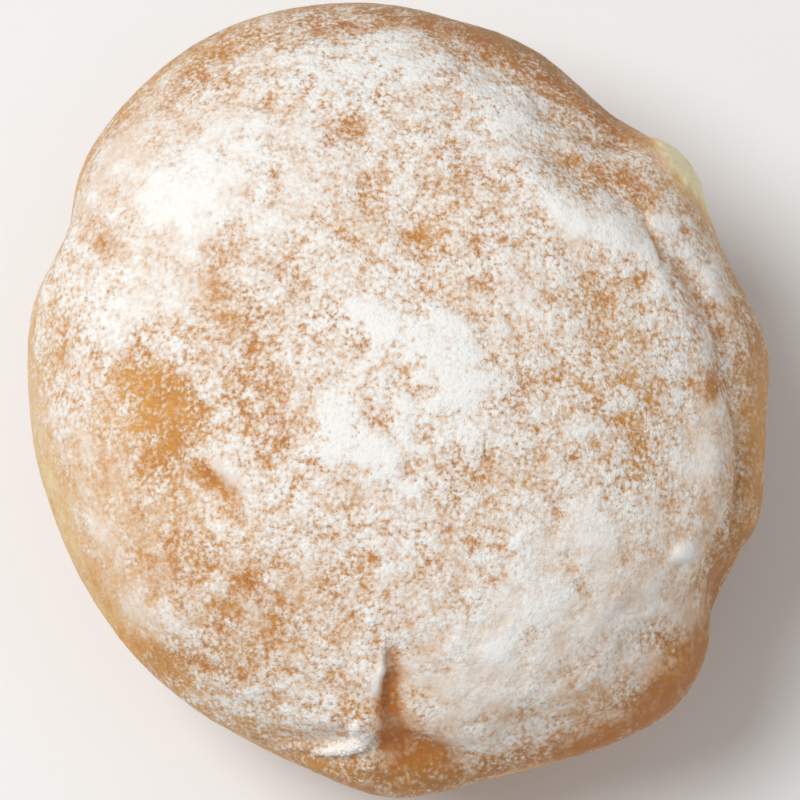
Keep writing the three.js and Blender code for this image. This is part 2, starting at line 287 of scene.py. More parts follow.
# Swellings with a clear edge: their amount is a height in millimetres.
SWELLINGS = (
    Spot("pale blister", (686, 172), 3.0, 1.5, -55, 0.3),
    Spot("heap on the front ledge", (340, 748), 1.0, 0.28, 10, 0.12),
    Spot("right end of that heap", (358, 741), 0.7, 0.4, 40, 0.18),
    Spot("caked nub", (682, 553), 0.8, 0.65, 60, 0.26),
)
SWELLING_EDGE = (0.25, 0.7)  # how strong such a spot is at the swelling's foot and at its top

# Soft dips in the skin: their amount is a depth in millimetres.
DIPS = (
    Spot("back right shoulder", (530, 80), 6.0, 2.3, -40, 1.1),
    Spot("shoulder before the blister", (612, 130), 2.8, 1.8, -40, 0.8),
    Spot("trough of the shoulder fold", (603, 166), 4.5, 1.6, -28, 0.55),
    Spot("lower right shoulder", (658, 646), 5.0, 3.2, 62, 1.1),
    Spot("front right shoulder", (545, 736), 6.0, 2.5, 16, 0.65),
)

# Where crumbs of sugar stand off the crust.
CRUMB_SPOTS = (
    Spot("heap on the front ledge", (340, 748), 1.1, 0.4, 10, 2.0),
    Spot("right end of that heap", (358, 741), 0.8, 0.5, 40, 2.0),
    Spot("knob over that heap", (356, 727), 0.5, 0.5, 0, 1.0),
)

# Lumps of caked sugar, turned at random: their amount is how far they stand up in millimetres.
CAKED_LUMPS = (
    Spot("knob over the front ledge", (356, 727), 0.36, 0.3, 0, 0.2),
    Spot("crumb at the ledge's end", (363, 736), 0.3, 0.24, 0, 0.2),
)


class EdgePoint(NamedTuple):
    """A point of a fold's edge: its pixel, its lip's rise and its foot's drop in millimetres."""

    pixel: tuple
    lip: float
    drop: float


class Fold(NamedTuple):
    """A lapped edge, its lip on the left along the line, with the widths of its parts in millimetres."""

    place: str
    edge: tuple
    lip_width: float
    foot_width: float
    fall: float  # from the lip down to the foot


FOLDS = (
    Fold(
        "flap over the front ledge",
        (
            EdgePoint((288, 751), 0.05, 0.1),
            EdgePoint((312, 751), 0.15, 0.3),
            EdgePoint((333, 756), 0.22, 0.45),
            EdgePoint((357, 749), 0.22, 0.45),
            EdgePoint((372, 738), 0.12, 0.35),
            EdgePoint((383, 728), 0.0, 0.1),
        ),
        lip_width=0.45, foot_width=0.8, fall=0.25,
    ),
    Fold(
        "front crease",
        (
            EdgePoint((383, 728), 0.0, 0.1),
            EdgePoint((384, 705), 0.05, 0.28),
            EdgePoint((385, 680), 0.12, 0.42),
            EdgePoint((385, 662), 0.1, 0.34),
            EdgePoint((384, 646), 0.04, 0.12),
            EdgePoint((380, 630), 0.0, 0.0),
        ),
        lip_width=0.6, foot_width=0.9, fall=0.2,
    ),
    Fold(
        "edge of the right fold",
        (
            EdgePoint((707, 580), 0.1, 0.15),
            EdgePoint((717, 558), 0.25, 0.35),
            EdgePoint((727, 538), 0.3, 0.4),
            EdgePoint((729, 500), 0.35, 0.4),
            EdgePoint((733, 468), 0.35, 0.4),
            EdgePoint((731, 438), 0.3, 0.35),
            EdgePoint((727, 404), 0.12, 0.15),
            EdgePoint((722, 375), 0.0, 0.0),
        ),
        lip_width=0.5, foot_width=0.8, fall=0.3,
    ),
    Fold(
        "nick left of the crown",
        (
            EdgePoint((194, 461), 0.0, 0.0),
            EdgePoint((203, 469), 0.08, 0.12),
            EdgePoint((217, 480), 0.1, 0.18),
            EdgePoint((233, 488), 0.08, 0.14),
            EdgePoint((247, 500), 0.0, 0.0),
        ),
        lip_width=0.7, foot_width=1.1, fall=0.8,
    ),
)


class Sector(NamedTuple):
    """A side of the bun: the bearing of its middle and its half width, in degrees, and its strength."""

    bearing: float  # right is 0 and the back 90
    spread: float
    amount: float


class Wave(NamedTuple):
    """Random waves over the surface: their size in millimetres, and about how much they add or take."""

    size: float
    amount: float


class Belt(NamedTuple):
    """A level band around the bun: its height and its half width, in millimetres."""

    height: float
    spread: float


class Weight(NamedTuple):
    """How much a kind of grain counts under a veil of fine sugar, and how much more without one."""

    veiled: float
    grainy: float

    def where(self, grainy):
        """The weight, by how grainy the sugar is: 0 is a smooth veil and 1 none."""
        return self.veiled + grainy * self.grainy


# The even dusting, by how far the bun's round form faces the falling sugar, and the frost below it.
DUSTED = (0.3, 0.76)  # from none to all of the dusting
DUSTED_FURTHER = Sector(158, 35, 0.2)  # at the upper left it reaches further down
DUSTED_EDGE = Wave(2.5, 0.1)
DUSTED_SMALL_PATCHES = Wave(2.2, 0.17)
DUSTED_LARGE_PATCHES = Wave(7, 0.08)
CLUMPED = Wave(1.3, 1.0)  # clumps and gaps of the crumbly spots
FROSTED = (-0.2, 0.25)  # from none to all of the frost
FROST = 0.16
LEAST_SUGAR = 0.06  # what stays in the barest spot of the dusting
MOST_SUGAR = 1.15
DRIFTING = (0.35, 1.1)  # from no relief of the sugar to all of it
DRIFT_WAVES = 1.1 * MM
DRIFT_UNEVENNESS = 0.5  # share of a drift's thickness

# The veil of fine sugar.
EVEN_VEIL = 0.2
VEIL_PATCHES = Wave(2.6, 0.4)
THICKEST_VEIL = 0.95

# The crust: brown but for the collar, where the bun floated, and the left flank above it.
BROWNED = 0.85
BROWNED_PATCHES = Wave(5, 0.12)
BROWNED_MOTTLE = Wave(1.8, 0.1)
FINE_PORES = 0.5  # size of the pores' browning, as a share of the pores' own
PORE_BROWNING = 0.5
PALENESS = 0.75
COLLAR = Belt(15.0, 3.2)
COLLAR_LOWER = Sector(300, 45, 4.0)  # millimetres that it runs lower at the front right
COLLAR_WAVES = Wave(12, 1.2)
PALE_FLANK = Belt(20, 6.5)
PALE_FLANK_SIDE = Sector(190, 55, 0.75)
CROWN = (0.3, 0.7)  # from the flank's tan to the crown's brown, by how far the form faces the sugar
CROWN_BROWN_SIDE = Sector(298, 38, 0.8)  # the front right has that brown down its flank

# How the sugar's clumps, crumbs and specks hide the crust.
DRAWN_OUT = (1, 1, 0.6)  # grains look longer down the flanks
CRUMB_NOISE = 0.6
CRUMB_GRANULES = 0.42
CLUMP_COVER = Weight(0.45, 1.2)
CRUMB_COVER = Weight(0.2, 1.7)
SPECK_COVER = Weight(0.0, 0.8)
PIT_LEVEL = 0.09  # specks lower than this are pits down to the crust
PIT_FILLING = 0.3  # how much the sugar around them takes off that level
PIT_SHARPNESS = 7
PIT_CLEARING = 0.9  # share of the sugar that is missing in a pit
CLOSED_LEVEL = 1.2  # sugar as thick as this has no pits
CLOSED_SHARPNESS = 3
GRAIN_LEVEL = 0.02  # specks higher than this are single grains on nearly bare crust
GRAIN_SHARPNESS = 6
GRAIN_RISE = 8  # how fast they come with the first sugar
GRAIN_FALL = 2.2  # and go in the closed layer
GRAIN_COVER = 0.3
FIRST_HIDES = 1.4  # the first sugar hides more of the crust than the last
LAST_HIDES_LESS = 0.42
FILM_SHARE = 0.72  # of the film's own colour, the rest being the crust below it

# How far the sugar's grains stand out.
COVER_RELIEF = 0.3
CLUMP_RELIEF = 1.5
CRUMB_RELIEF = Weight(0.3, 0.8)
SPECK_RELIEF = Weight(0.3, 0.8)
RELIEF_HEIGHT = 0.2 * MM
RELIEF_STRENGTH = 0.6

# Loose sugar.
CRUMB_FORMS = ((0.7, 0.7, 0.5), (1.2, 1.2, 0.8))  # least and most of its size along, across and up
CRUMB_ROUGHNESS = 0.2
CRUMB_SINKING = 0.12  # share of the largest crumb that lies in the crust
CRUMB_EDGE = (0.3, 1)  # from no crumbs to all of them, by the strength of their spots
LUMP_ROUGHNESS = 0.03
LOOSE_MOTTLE = 0.8 * MM
LOOSE_WHITENESS = 0.8  # share of white, the rest being the film's colour
LOOSE_UNEVENNESS = 0.4


def bell(offset, spread):
    """1 at no offset, dying out smoothly over the spread."""
    return np.exp(-((offset / spread) ** 2))


def ramp(value, low, high):
    """0 below low, 1 above high, and a smooth ramp between them."""
    share = np.clip((value - low) / (high - low), 0, 1)
    return share * share * (3 - 2 * share)


class PhotoView:
    """The photograph's camera: where it stands, and the ray behind each of its pixels."""

    def __init__(self, stage):
        self.right = Vector((1, 0, 0))
        self.back = Vector((0, -math.cos(stage.elevation), math.sin(stage.elevation)))
        self.up = self.back.cross(self.right)
        self.place = Vector(stage.target) + self.back * stage.distance
        self.pixels_to_lens = PHOTO_SIDE * stage.lens / SENSOR

    def ray(self, pixel):
        """The direction from the camera through a pixel."""
        across = (pixel[0] - PHOTO_SIDE / 2) / self.pixels_to_lens
        upward = (PHOTO_SIDE / 2 - pixel[1]) / self.pixels_to_lens
        return (self.right * across + self.up * upward - self.back).normalized()


class Skin:
    """The points of the dough's surface, and how near they are to spots and lines of the photograph."""

    RAGGED_WAVES = (Wave(1.0, 0.5), Wave(2.4, 0.9), Wave(6, 1.4))  # with their reach in millimetres
    RAGGED_SEED = 5
    SMOOTHNESS = 0.8  # how much weaker each octave of the random waves is than the last
    FINER = 2.0  # and how much finer
    OCTAVES = 3
    RAGGED_WIDTH = 2.0  # half width, in millimetres, from which a spot's outline is as ragged as that
    SPOT_DEPTH = 7 * MM  # how far behind or before its middle a spot still acts
    LINE_DEPTH = 2.5 * MM  # the same for a fold's edge

    def __init__(self, piece, view):
        mesh = piece.data
        self.points = np.empty((len(mesh.vertices), 3))
        mesh.vertices.foreach_get("co", self.points.ravel())
        self.view = view
        self.axes = np.array([view.right, view.up, view.back])
        faces = [tuple(face.vertices) for face in mesh.polygons]
        self.tree = BVHTree.FromPolygons(self.points.tolist(), faces)
        self.ragged = sum(wave.amount * MM * self.vectors(wave.size * MM) for wave in self.RAGGED_WAVES)

    @property
    def sieved(self):
        """How far the bun's round form, without its folds, faces the falling sugar: 1 at most."""
        round_normals = (self.points - ROUND_CENTRE) / np.square(ROUND_RADII)
        return round_normals @ SUGAR_FROM / np.linalg.norm(round_normals, axis=1)

    def round_from(self, bearing):
        """Degrees between each point and a bearing, the shorter way round: right is 0, the back 90."""
        azimuths = np.degrees(np.arctan2(self.points[:, 1], self.points[:, 0]))
        return (azimuths - bearing + 180) % 360 - 180

    def vectors(self, size):
        """A smooth random direction at each point, that changes over the given size."""
        noise.seed_set(self.RAGGED_SEED)
        return np.array([noise.noise_vector(Vector(point) / size) for point in self.points])

    def waves(self, wave):
        """Smooth random numbers at each point."""
        places = [Vector(point) / (wave.size * MM) for point in self.points]
        heights = [noise.fractal(place, self.SMOOTHNESS, self.FINER, self.OCTAVES) for place in places]
        return wave.amount * np.array(heights)

    def sector(self, sector):
        """How strongly a side of the bun acts at each point."""
        return sector.amount * bell(self.round_from(sector.bearing), sector.spread)

    def belt(self, belt, shift=0):
        """How strongly a level band acts at each point. A shift, in millimetres, moves it up there."""
        return bell(self.points[:, 2] - (belt.height + shift) * MM, belt.spread * MM)

    def at(self, pixel):
        """The point of the surface behind a pixel."""
        hit = self.tree.ray_cast(self.view.place, self.view.ray(pixel))[0]
        if hit is None:
            raise ValueError(f"no dough lies behind pixel {pixel}")
        return np.array(hit)

    def patch(self, spot):
        """How strongly a spot acts at each point: 1 in its middle, dying out over its half sizes."""
        points = self.points + min(spot.wide / self.RAGGED_WIDTH, 1) * self.ragged
        across, upward, depth = ((points - self.at(spot.pixel)) @ self.axes.T).T
        turn = math.radians(spot.turn)
        along = across * math.cos(turn) + upward * math.sin(turn)
        aside = upward * math.cos(turn) - across * math.sin(turn)
        return bell(along, spot.long * MM) * bell(aside, spot.wide * MM) * bell(depth, self.SPOT_DEPTH)

    def patches(self, spots):
        """The amounts of many spots together at each point."""
        return sum(spot.amount * self.patch(spot) for spot in spots)

    def beside(self, edge):
        """How far each point lies to the left of a fold's edge, and the lip and drop nearest to it."""
        line = np.array([self.at(point.pixel) for point in edge]) @ self.axes.T
        here = self.points @ self.axes.T
        nearest = np.full(len(here), np.inf)
        found = np.zeros((3, len(here)))
        for first, last, start, end in zip(edge, edge[1:], line, line[1:]):
            step = (end - start)[:2]
            share = np.clip((here[:, :2] - start[:2]) @ step / (step @ step), 0, 1)
            away = here[:, :2] - start[:2] - share[:, None] * step
            distance = np.hypot(*away.T)
            side = np.sign(step[0] * away[:, 1] - step[1] * away[:, 0])
            level = bell(here[:, 2] - start[2] - share * (end - start)[2], self.LINE_DEPTH)
            lip = level * (first.lip + share * (last.lip - first.lip))
            drop = level * (first.drop + share * (last.drop - first.drop))
            closer = distance < nearest
            nearest = np.where(closer, distance, nearest)
            found = np.where(closer, [side * distance, lip, drop], found)
        return found


class Shade:
    """A value of a material that varies over the surface: arithmetic on it adds Math nodes."""

    def __init__(self, finish, socket):
        self.finish = finish
        self.socket = socket

    def math(self, operation, first, second, clamp=False):
        """A Math node of two values."""
        settings = {"operation": operation, "use_clamp": clamp}
        return self.finish.node("Math", settings, {0: first, 1: second})

    def __add__(self, other):
        return self.math("ADD", self, other)

    def __radd__(self, other):
        return self.math("ADD", other, self)

    def __sub__(self, other):
        return self.math("SUBTRACT", self, other)

    def __rsub__(self, other):
        return self.math("SUBTRACT", other, self)

    def __mul__(self, other):
        return self.math("MULTIPLY", self, other)

    def __rmul__(self, other):
        return self.math("MULTIPLY", other, self)

    def clamped(self):
        """The value, held between 0 and 1."""
        return self.math("ADD", self, 0.0, clamp=True)


class Finish:
    """A material in the making, with one method that adds any node."""

    MEAN_NOISE = 0.5
    MEAN_DISTANCE = 0.53  # from a place to the nearest granule's middle, in granule sizes

    def __init__(self, name):
        self.material = bpy.data.materials.new(name)
        self.material.use_nodes = True
        self.tree = self.material.node_tree
        self.tree.nodes.clear()

    def node(self, kind, settings=None, sockets=None, output=0):
        """Adds a node of a kind, with its settings and the values or links of its sockets."""
        made = self.tree.nodes.new("ShaderNode" + kind)
        for name, value in (settings or {}).items():
            setattr(made, name, value)
        for key, value in (sockets or {}).items():
            if isinstance(value, Shade):
                self.tree.links.new(value.socket, made.inputs[key])
            else:
                made.inputs[key].default_value = value
        return Shade(self, made.outputs[output]) if made.outputs else made

    def attribute(self, name):
        """A number that each point of the piece keeps."""
        return self.node("Attribute", {"attribute_name": name}, output="Fac")

    def noise(self, place, size, detail=2.0, roughness=0.6):
        """Smooth noise around 0 that changes over the given size, in metres."""
        sockets = {"Vector": place, "Scale": 1 / size, "Detail": detail, "Roughness": roughness}
        return self.node("TexNoise", {"noise_dimensions": "3D"}, sockets, output="Fac") - self.MEAN_NOISE

    def granules(self, place, size):
        """Round grains of the given size, in metres: highest in the middle of each, around 0."""
        settings = {"voronoi_dimensions": "3D", "feature": "F1"}
        sockets = {"Vector": place, "Scale": 1 / size}
        return self.MEAN_DISTANCE - self.node("TexVoronoi", settings, sockets, output="Distance")

    def mix(self, share, first, second):
        """A colour between two, by a share of the second."""
        settings = {"data_type": "RGBA", "clamp_factor": True}
        return self.node("Mix", settings, {0: share, 6: first, 7: second}, output=2)

    def blend(self, share, low, middle, high):
        """A colour between three: low at a share of 0, middle at one half and high at 1."""
        lower = self.mix((share * 2).clamped(), low, middle)
        return self.mix((share * 2 - 1).clamped(), lower, high)

    def bump(self, height, distance, strength):
        """A normal that leans as if the surface had this height."""
        return self.node("Bump", {}, {"Height": height, "Distance": distance, "Strength": strength})

    def done(self, sockets):
        """Ends in a Principled shader with these sockets, and returns the material."""
        surface = self.node("BsdfPrincipled", {}, sockets)
        self.node("OutputMaterial", {}, {"Surface": surface})
        return self.material


def opaque(colour):
    """A colour with its alpha."""
    return (*colour, 1.0)


class BERLINER_PG_dough(bpy.types.PropertyGroup):
    """Sizes and colours of the fried dough"""

    fineness: IntProperty(
        name="Fineness", description="How often the packed skin is split for its relief",
        default=2, min=1, max=2,
    )
    pore_size: FloatProperty(
        name="Pores", description="Distance between the crust's small blisters",
        default=1.1 * MM, subtype="DISTANCE",
    )
    pore_height: FloatProperty(
        name="Pore Height", description="Height of the crust's small blisters",
        default=0.09 * MM, subtype="DISTANCE",
    )
    brown: FloatVectorProperty(
        name="Brown", description="Crust that was fried longest",
        default=linear(186, 114, 52), size=3, subtype="COLOR",
    )
    tan: FloatVectorProperty(
        name="Tan", description="Well fried crust on the flank",
        default=linear(174, 122, 52), size=3, subtype="COLOR",
    )
    golden: FloatVectorProperty(
        name="Golden", description="Lighter crust", default=linear(224, 160, 76), size=3, subtype="COLOR"
    )
    pale: FloatVectorProperty(
        name="Pale", description="Collar and blister",
        default=linear(248, 236, 190), size=3, subtype="COLOR",
    )


class BERLINER_PG_sugar(bpy.types.PropertyGroup):
    """Amount, sizes and colours of the icing sugar"""

    dusting: FloatProperty(
        name="Dusting", description="Even share of sugar on the top",
        default=0.65, min=0, max=1, subtype="FACTOR",
    )
    depth: FloatProperty(
        name="Depth", description="Thickness of a full drift", default=0.32 * MM, subtype="DISTANCE"
    )
    speck_size: FloatProperty(
        name="Specks", description="Distance between bare specks", default=0.22 * MM, subtype="DISTANCE"
    )
    crumb_size: FloatProperty(
        name="Crumbs", description="Distance between crumbs of sugar", default=0.37 * MM, subtype="DISTANCE"
    )
    clump_size: FloatProperty(
        name="Clumps", description="Distance between clumps", default=1.3 * MM, subtype="DISTANCE"
    )
    crumb_count: IntProperty(name="Crumb Count", description="Crumbs that stand off the crust", default=200)
    least_crumb: FloatProperty(
        name="Least Crumb", description="Size of the smallest crumb that stands off the crust",
        default=0.16 * MM, subtype="DISTANCE",
    )
    most_crumb: FloatProperty(
        name="Largest Crumb", description="Size of the largest crumb that stands off the crust",
        default=0.4 * MM, subtype="DISTANCE",
    )
    seed: IntProperty(name="Seed", description="Start of the random draws", default=11)
    white: FloatVectorProperty(
        name="White", description="Thick sugar", default=linear(252, 251, 247), size=3, subtype="COLOR"
    )
    film: FloatVectorProperty(
        name="Film", description="Thin milky sugar", default=linear(236, 212, 186), size=3, subtype="COLOR"
    )


class BERLINER_PG_stage(bpy.types.PropertyGroup):
    """Camera, floor and lights"""

    elevation: FloatProperty(
        name="Elevation", description="Camera above the horizon", default=math.radians(78), subtype="ANGLE"
    )
    distance: FloatProperty(
        name="Distance", description="From the camera to its target", default=300 * MM, subtype="DISTANCE"
    )
    target: FloatVectorProperty(
        name="Target", description="What the camera looks at",
        default=(0.15 * MM, 0, 16.5 * MM), size=3, subtype="TRANSLATION",
    )
    lens: FloatProperty(name="Lens", description="Focal length in millimetres", default=187.0)
    floor: FloatVectorProperty(
        name="Floor", description="Colour of the table", default=(0.93, 0.93, 0.93), size=3, subtype="COLOR"
    )
    key_place: FloatVectorProperty(
        name="Key Place", description="Where the light at the upper left hangs",
        default=(-0.255, 0.058, 0.54), size=3, subtype="TRANSLATION",
    )
    key_power: FloatProperty(name="Key", description="Watts of the light at the upper left", default=2.32)
    fill_place: FloatVectorProperty(
        name="Fill Place", description="Where the weak light at the right hangs",
        default=(0.45, -0.2, 0.14), size=3, subtype="TRANSLATION",
    )
    fill_power: FloatProperty(name="Fill", description="Watts of the weak light at the right", default=0.18)
    sky: FloatProperty(name="Sky", description="Strength of the light from all round", default=0.36)


def activate(piece):
    """Selects one piece alone and makes it the active one."""
    bpy.ops.object.select_all(action="DESELECT")
    piece.select_set(True)
    bpy.context.view_layer.objects.active = piece


def finer_copy(node, name, levels):
    """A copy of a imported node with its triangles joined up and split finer."""
    activate(node)
    bpy.ops.object.duplicate()
    piece = bpy.context.active_object
    piece.name = name
    piece.data.name = name
    del piece["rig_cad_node"]
    piece.data.materials.clear()
    bpy.ops.object.mode_set(mode="EDIT")
    bpy.ops.mesh.select_all(action="SELECT")
    bpy.ops.mesh.remove_doubles(threshold=WELD)
    bpy.ops.mesh.customdata_custom_splitnormals_clear()
    bpy.ops.object.mode_set(mode="OBJECT")
    bpy.ops.object.modifier_add(type="SUBSURF")
    splitter = piece.modifiers[-1]
    splitter.levels = levels
    splitter.render_levels = levels
    bpy.ops.object.modifier_apply(modifier=splitter.name)
    bpy.ops.object.shade_smooth()
    return piece


def push_out(piece, weights, height, texture=None):
    """Moves a piece's points along their normals by height times weight, with a texture up and down."""
    activate(piece)
    group = piece.vertex_groups.new(name="weight")
    for index in np.flatnonzero(weights > LEAST_WEIGHT).tolist():
        group.add([index], min(float(weights[index]), 1.0), "REPLACE")
    bpy.ops.object.modifier_add(type="DISPLACE")
    pusher = piece.modifiers[-1]
    pusher.vertex_group = group.name
    pusher.strength = height
    pusher.mid_level = 0.5 if texture else 0.0
    if texture:
        pusher.texture = texture
        pusher.texture_coords = "LOCAL"
    bpy.ops.object.modifier_apply(modifier=pusher.name)
    piece.vertex_groups.clear()


def clouds(name, size):
    """A soft noise texture that changes over the given size."""
    texture = bpy.data.textures.new(name, type="CLOUDS")
    texture.noise_scale = size
    texture.noise_depth = 2
    return texture


def lap_fold(piece, skin, fold):
    """Raises the left side of a fold's edge into a lip and sinks the foot on its right side."""
    offset, lip, drop = skin.beside(fold.edge)
    lip_width, foot_width, fall = fold.lip_width * MM, fold.foot_width * MM, fold.fall * MM
    left = ramp(offset, -fall / 2, fall / 2)
    push_out(piece, lip * left * bell(np.maximum(offset - fall / 2, 0), lip_width), MM)
    push_out(piece, drop * (1 - left) * bell(np.maximum(-offset - fall / 2, 0), foot_width), -MM)


def store(piece, name, values):
    """Keeps a number for each point of a piece, for its material to read."""
    layer = piece.data.attributes.new(name, "FLOAT", "POINT")
    layer.data.foreach_set("value", np.asarray(values, dtype=np.float32))


def sugar_lying(skin, settings):
    """How much sugar lies at each point: 0 is bare crust and 1 an unbroken drift."""
    dusted = ramp(skin.sieved + skin.sector(DUSTED_FURTHER) + skin.waves(DUSTED_EDGE), *DUSTED)
    patchy = skin.waves(DUSTED_SMALL_PATCHES) + skin.waves(DUSTED_LARGE_PATCHES)
    patchy += skin.patches(CRUMBLY_SPOTS) * skin.waves(CLUMPED)
    frost = FROST * ramp(skin.sieved, *FROSTED)
    even = dusted * (settings.dusting + patchy) + (1 - dusted) * frost
    return np.clip(even + skin.patches(SUGAR_SPOTS), LEAST_SUGAR * dusted, MOST_SUGAR)


def veil_of_sugar(skin):
    """How far fine sugar evens out the specks at each point: 0 is grainy and 1 smooth."""
    return np.clip(EVEN_VEIL + skin.waves(VEIL_PATCHES) + skin.patches(VEIL_SPOTS), 0, THICKEST_VEIL)


def browning_and_shade(skin):
    """How brown the crust is at each point: 0 in the pale collar, 1 where it was fried longest, with
    painted shade as browner crust in the valleys and under the right fold.
    """
    collar = skin.belt(COLLAR, skin.waves(COLLAR_WAVES) - skin.sector(COLLAR_LOWER))
    flank = skin.sector(PALE_FLANK_SIDE) * skin.belt(PALE_FLANK)
    level = BROWNED + skin.waves(BROWNED_PATCHES) + skin.waves(BROWNED_MOTTLE)
    return np.clip(level - PALENESS * np.maximum(collar, flank) + skin.patches(BROWNING_AND_SHADE_SPOTS), 0, 1)


def crown_brown(skin):
    """How far the fried crust at each point is the crown's brown, and not the flank's tan."""
    return np.maximum(ramp(skin.sieved, *CROWN), skin.sector(CROWN_BROWN_SIDE))


def crust_colour(finish, place, dough):
    """Fried crust without its sugar, from the pale collar over gold to brown, with painted shade as browner
    crust in the valleys and under the right fold.
    """
    pores = finish.noise(place, dough.pore_size * FINE_PORES, detail=3)
    toasted_and_shaded = (finish.attribute("browning_and_shade") + pores * PORE_BROWNING).clamped()
    fried = finish.mix(finish.attribute("crown"), opaque(dough.tan), opaque(dough.brown))
    return finish.blend(toasted_and_shaded, opaque(dough.pale), opaque(dough.golden), fried)


def crust_finish(dough, sugar):
    """Fried crust that shows as specks through the sugar: thin sugar is a warm film, thick sugar white."""
    finish = Finish("sugared_crust")
    place = finish.node("TexCoord", output="Object")
    place = finish.node("VectorMath", {"operation": "MULTIPLY"}, {0: place, 1: DRAWN_OUT})
    lying = finish.attribute("sugar")
    grainy = 1 - finish.attribute("veil")
    specks = finish.noise(place, sugar.speck_size, roughness=0.7)
    crumbs = finish.noise(place, sugar.crumb_size) * CRUMB_NOISE
    crumbs = crumbs + finish.granules(place, sugar.crumb_size) * CRUMB_GRANULES
    clumps = finish.noise(place, sugar.clump_size, detail=3)

    local = lying + clumps * CLUMP_COVER.where(grainy) + crumbs * CRUMB_COVER.where(grainy)
    local = (local + specks * SPECK_COVER.where(grainy)).clamped()
    unclosed = ((CLOSED_LEVEL - lying) * CLOSED_SHARPNESS).clamped()
    pits = ((PIT_LEVEL - local * PIT_FILLING - specks) * PIT_SHARPNESS).clamped() * grainy * unclosed
    thin = (lying * GRAIN_RISE).clamped() * (1 - lying * GRAIN_FALL).clamped()
    grains = ((specks - GRAIN_LEVEL) * GRAIN_SHARPNESS).clamped() * thin * grainy
    covered = local + grains * GRAIN_COVER
    hidden = covered * (FIRST_HIDES - covered * LAST_HIDES_LESS) * (1 - pits * PIT_CLEARING)

    crust = crust_colour(finish, place, dough)
    film = finish.mix(FILM_SHARE, crust, opaque(sugar.film))
    relief = hidden * COVER_RELIEF + clumps * CLUMP_RELIEF
    relief = relief + crumbs * CRUMB_RELIEF.where(grainy) + specks * SPECK_RELIEF.where(grainy)
    return finish.done({
        "Base Color": finish.blend(hidden, crust, film, opaque(sugar.white)),
        "Roughness": 0.5 + hidden * 0.35,
        "Normal": finish.bump(relief, RELIEF_HEIGHT, RELIEF_STRENGTH),
        "Specular IOR Level": 0.3,
    })


def loose_sugar_finish(name, sugar):
    """Icing sugar: matt white, a little uneven."""
    finish = Finish(name)
    mottle = finish.noise(finish.node("TexCoord", output="Object"), LOOSE_MOTTLE)
    whiteness = LOOSE_WHITENESS + mottle * LOOSE_UNEVENNESS
    colour = finish.mix(whiteness, opaque(sugar.film), opaque(sugar.white))
    return finish.done({"Base Color": colour, "Roughness": 0.85, "Specular IOR Level": 0.25})


class BERLINER_OT_dough(bpy.types.Operator):
    """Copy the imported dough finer, sharpen its folds and give it its crust and the relief of its sugar"""

    bl_idname = "berliner.dough"
    bl_label = "Fried Dough"

    def execute(self, context):
        dough = context.scene.berliner_dough
        sugar = context.scene.berliner_sugar
        view = PhotoView(context.scene.berliner_stage)
        piece = finer_copy(frame["nodes"]["dough"], "fried_dough", dough.fineness)
        skin = Skin(piece, view)
        for dip in DIPS:
            push_out(piece, skin.patch(dip), -dip.amount * MM)
        for fold in FOLDS:
            lap_fold(piece, skin, fold)
        for swelling in SWELLINGS:
            push_out(piece, ramp(skin.patch(swelling), *SWELLING_EDGE), swelling.amount * MM)

        skin = Skin(piece, view)
        lying = sugar_lying(skin, sugar)
        store(piece, "sugar", lying)
        store(piece, "veil", veil_of_sugar(skin))
        store(piece, "browning_and_shade", browning_and_shade(skin))
        store(piece, "crown", crown_brown(skin))
        off_the_floor = ramp(skin.points[:, 2], 0, FLOOR_MARGIN)
        push_out(piece, off_the_floor, dough.pore_height, clouds("pores", dough.pore_size))
        drift = ramp(lying, *DRIFTING)
        push_out(piece, drift, sugar.depth)
        push_out(piece, drift, sugar.depth * DRIFT_UNEVENNESS, clouds("drift", DRIFT_WAVES))

        piece.data.materials.append(crust_finish(dough, sugar))
        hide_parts("dough")
        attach(piece, "root")
        return {"FINISHED"}


class Seeding(NamedTuple):
    """Places where crumbs may lie: the dough's triangles, with their corners, normals and areas."""

    triangles: np.ndarray  # by the numbers of their points
    corners: np.ndarray
    normals: np.ndarray
    areas: np.ndarray

    def mean(self, values):
        """The mean over each triangle of a number that each point has."""
        return values[self.triangles].mean(axis=1)


def seeding_of(piece):
    """The triangles of the dough."""
    mesh = piece.data
    mesh.calc_loop_triangles()
    points = np.empty((len(mesh.vertices), 3))
    mesh.vertices.foreach_get("co", points.ravel())
    triangles = np.empty((len(mesh.loop_triangles), 3), dtype=np.int32)
    mesh.loop_triangles.foreach_get("vertices", triangles.ravel())
    corners = points[triangles]
    crossed = np.cross(corners[:, 1] - corners[:, 0], corners[:, 2] - corners[:, 0])
    doubled = np.linalg.norm(crossed, axis=1)
    return Seeding(triangles, corners, crossed / doubled[:, None], doubled / 2)


def ball(subdivisions):
    """The corners and faces of a round primitive, which is then removed."""
    bpy.ops.object.select_all(action="DESELECT")
    bpy.ops.mesh.primitive_ico_sphere_add(subdivisions=subdivisions, radius=1)
    shape = bpy.context.active_object
    corners = np.array([vertex.co for vertex in shape.data.vertices])
    faces = np.array([face.vertices for face in shape.data.polygons])
    bpy.ops.object.delete()
    return corners, faces


def rough_copies(name, shape, roughness, middles, normals, sizes, draws):
    """Uneven copies of a small shape, lying on the dough and turned at random, joined into one piece."""
    corners, faces = shape
    count = len(middles)
    across = np.cross(normals, draws.normal(size=(count, 3)))
    across /= np.linalg.norm(across, axis=1)[:, None]
    frames = np.stack([across, np.cross(normals, across), normals], axis=1)
    rough = draws.uniform(1 - roughness, 1 + roughness, (count, len(corners), 1))
    grains = corners * rough * sizes[:, None] / 2
    grains = np.einsum("nkj,nji->nki", grains, frames) + middles[:, None]
    starts = np.arange(count)[:, None, None] * len(corners)
    mesh = bpy.data.meshes.new(name)
    mesh.from_pydata(grains.reshape(-1, 3), [], (faces + starts).reshape(-1, faces.shape[1]))
    piece = bpy.data.objects.new(name, mesh)
    bpy.context.scene.collection.objects.link(piece)
    return piece


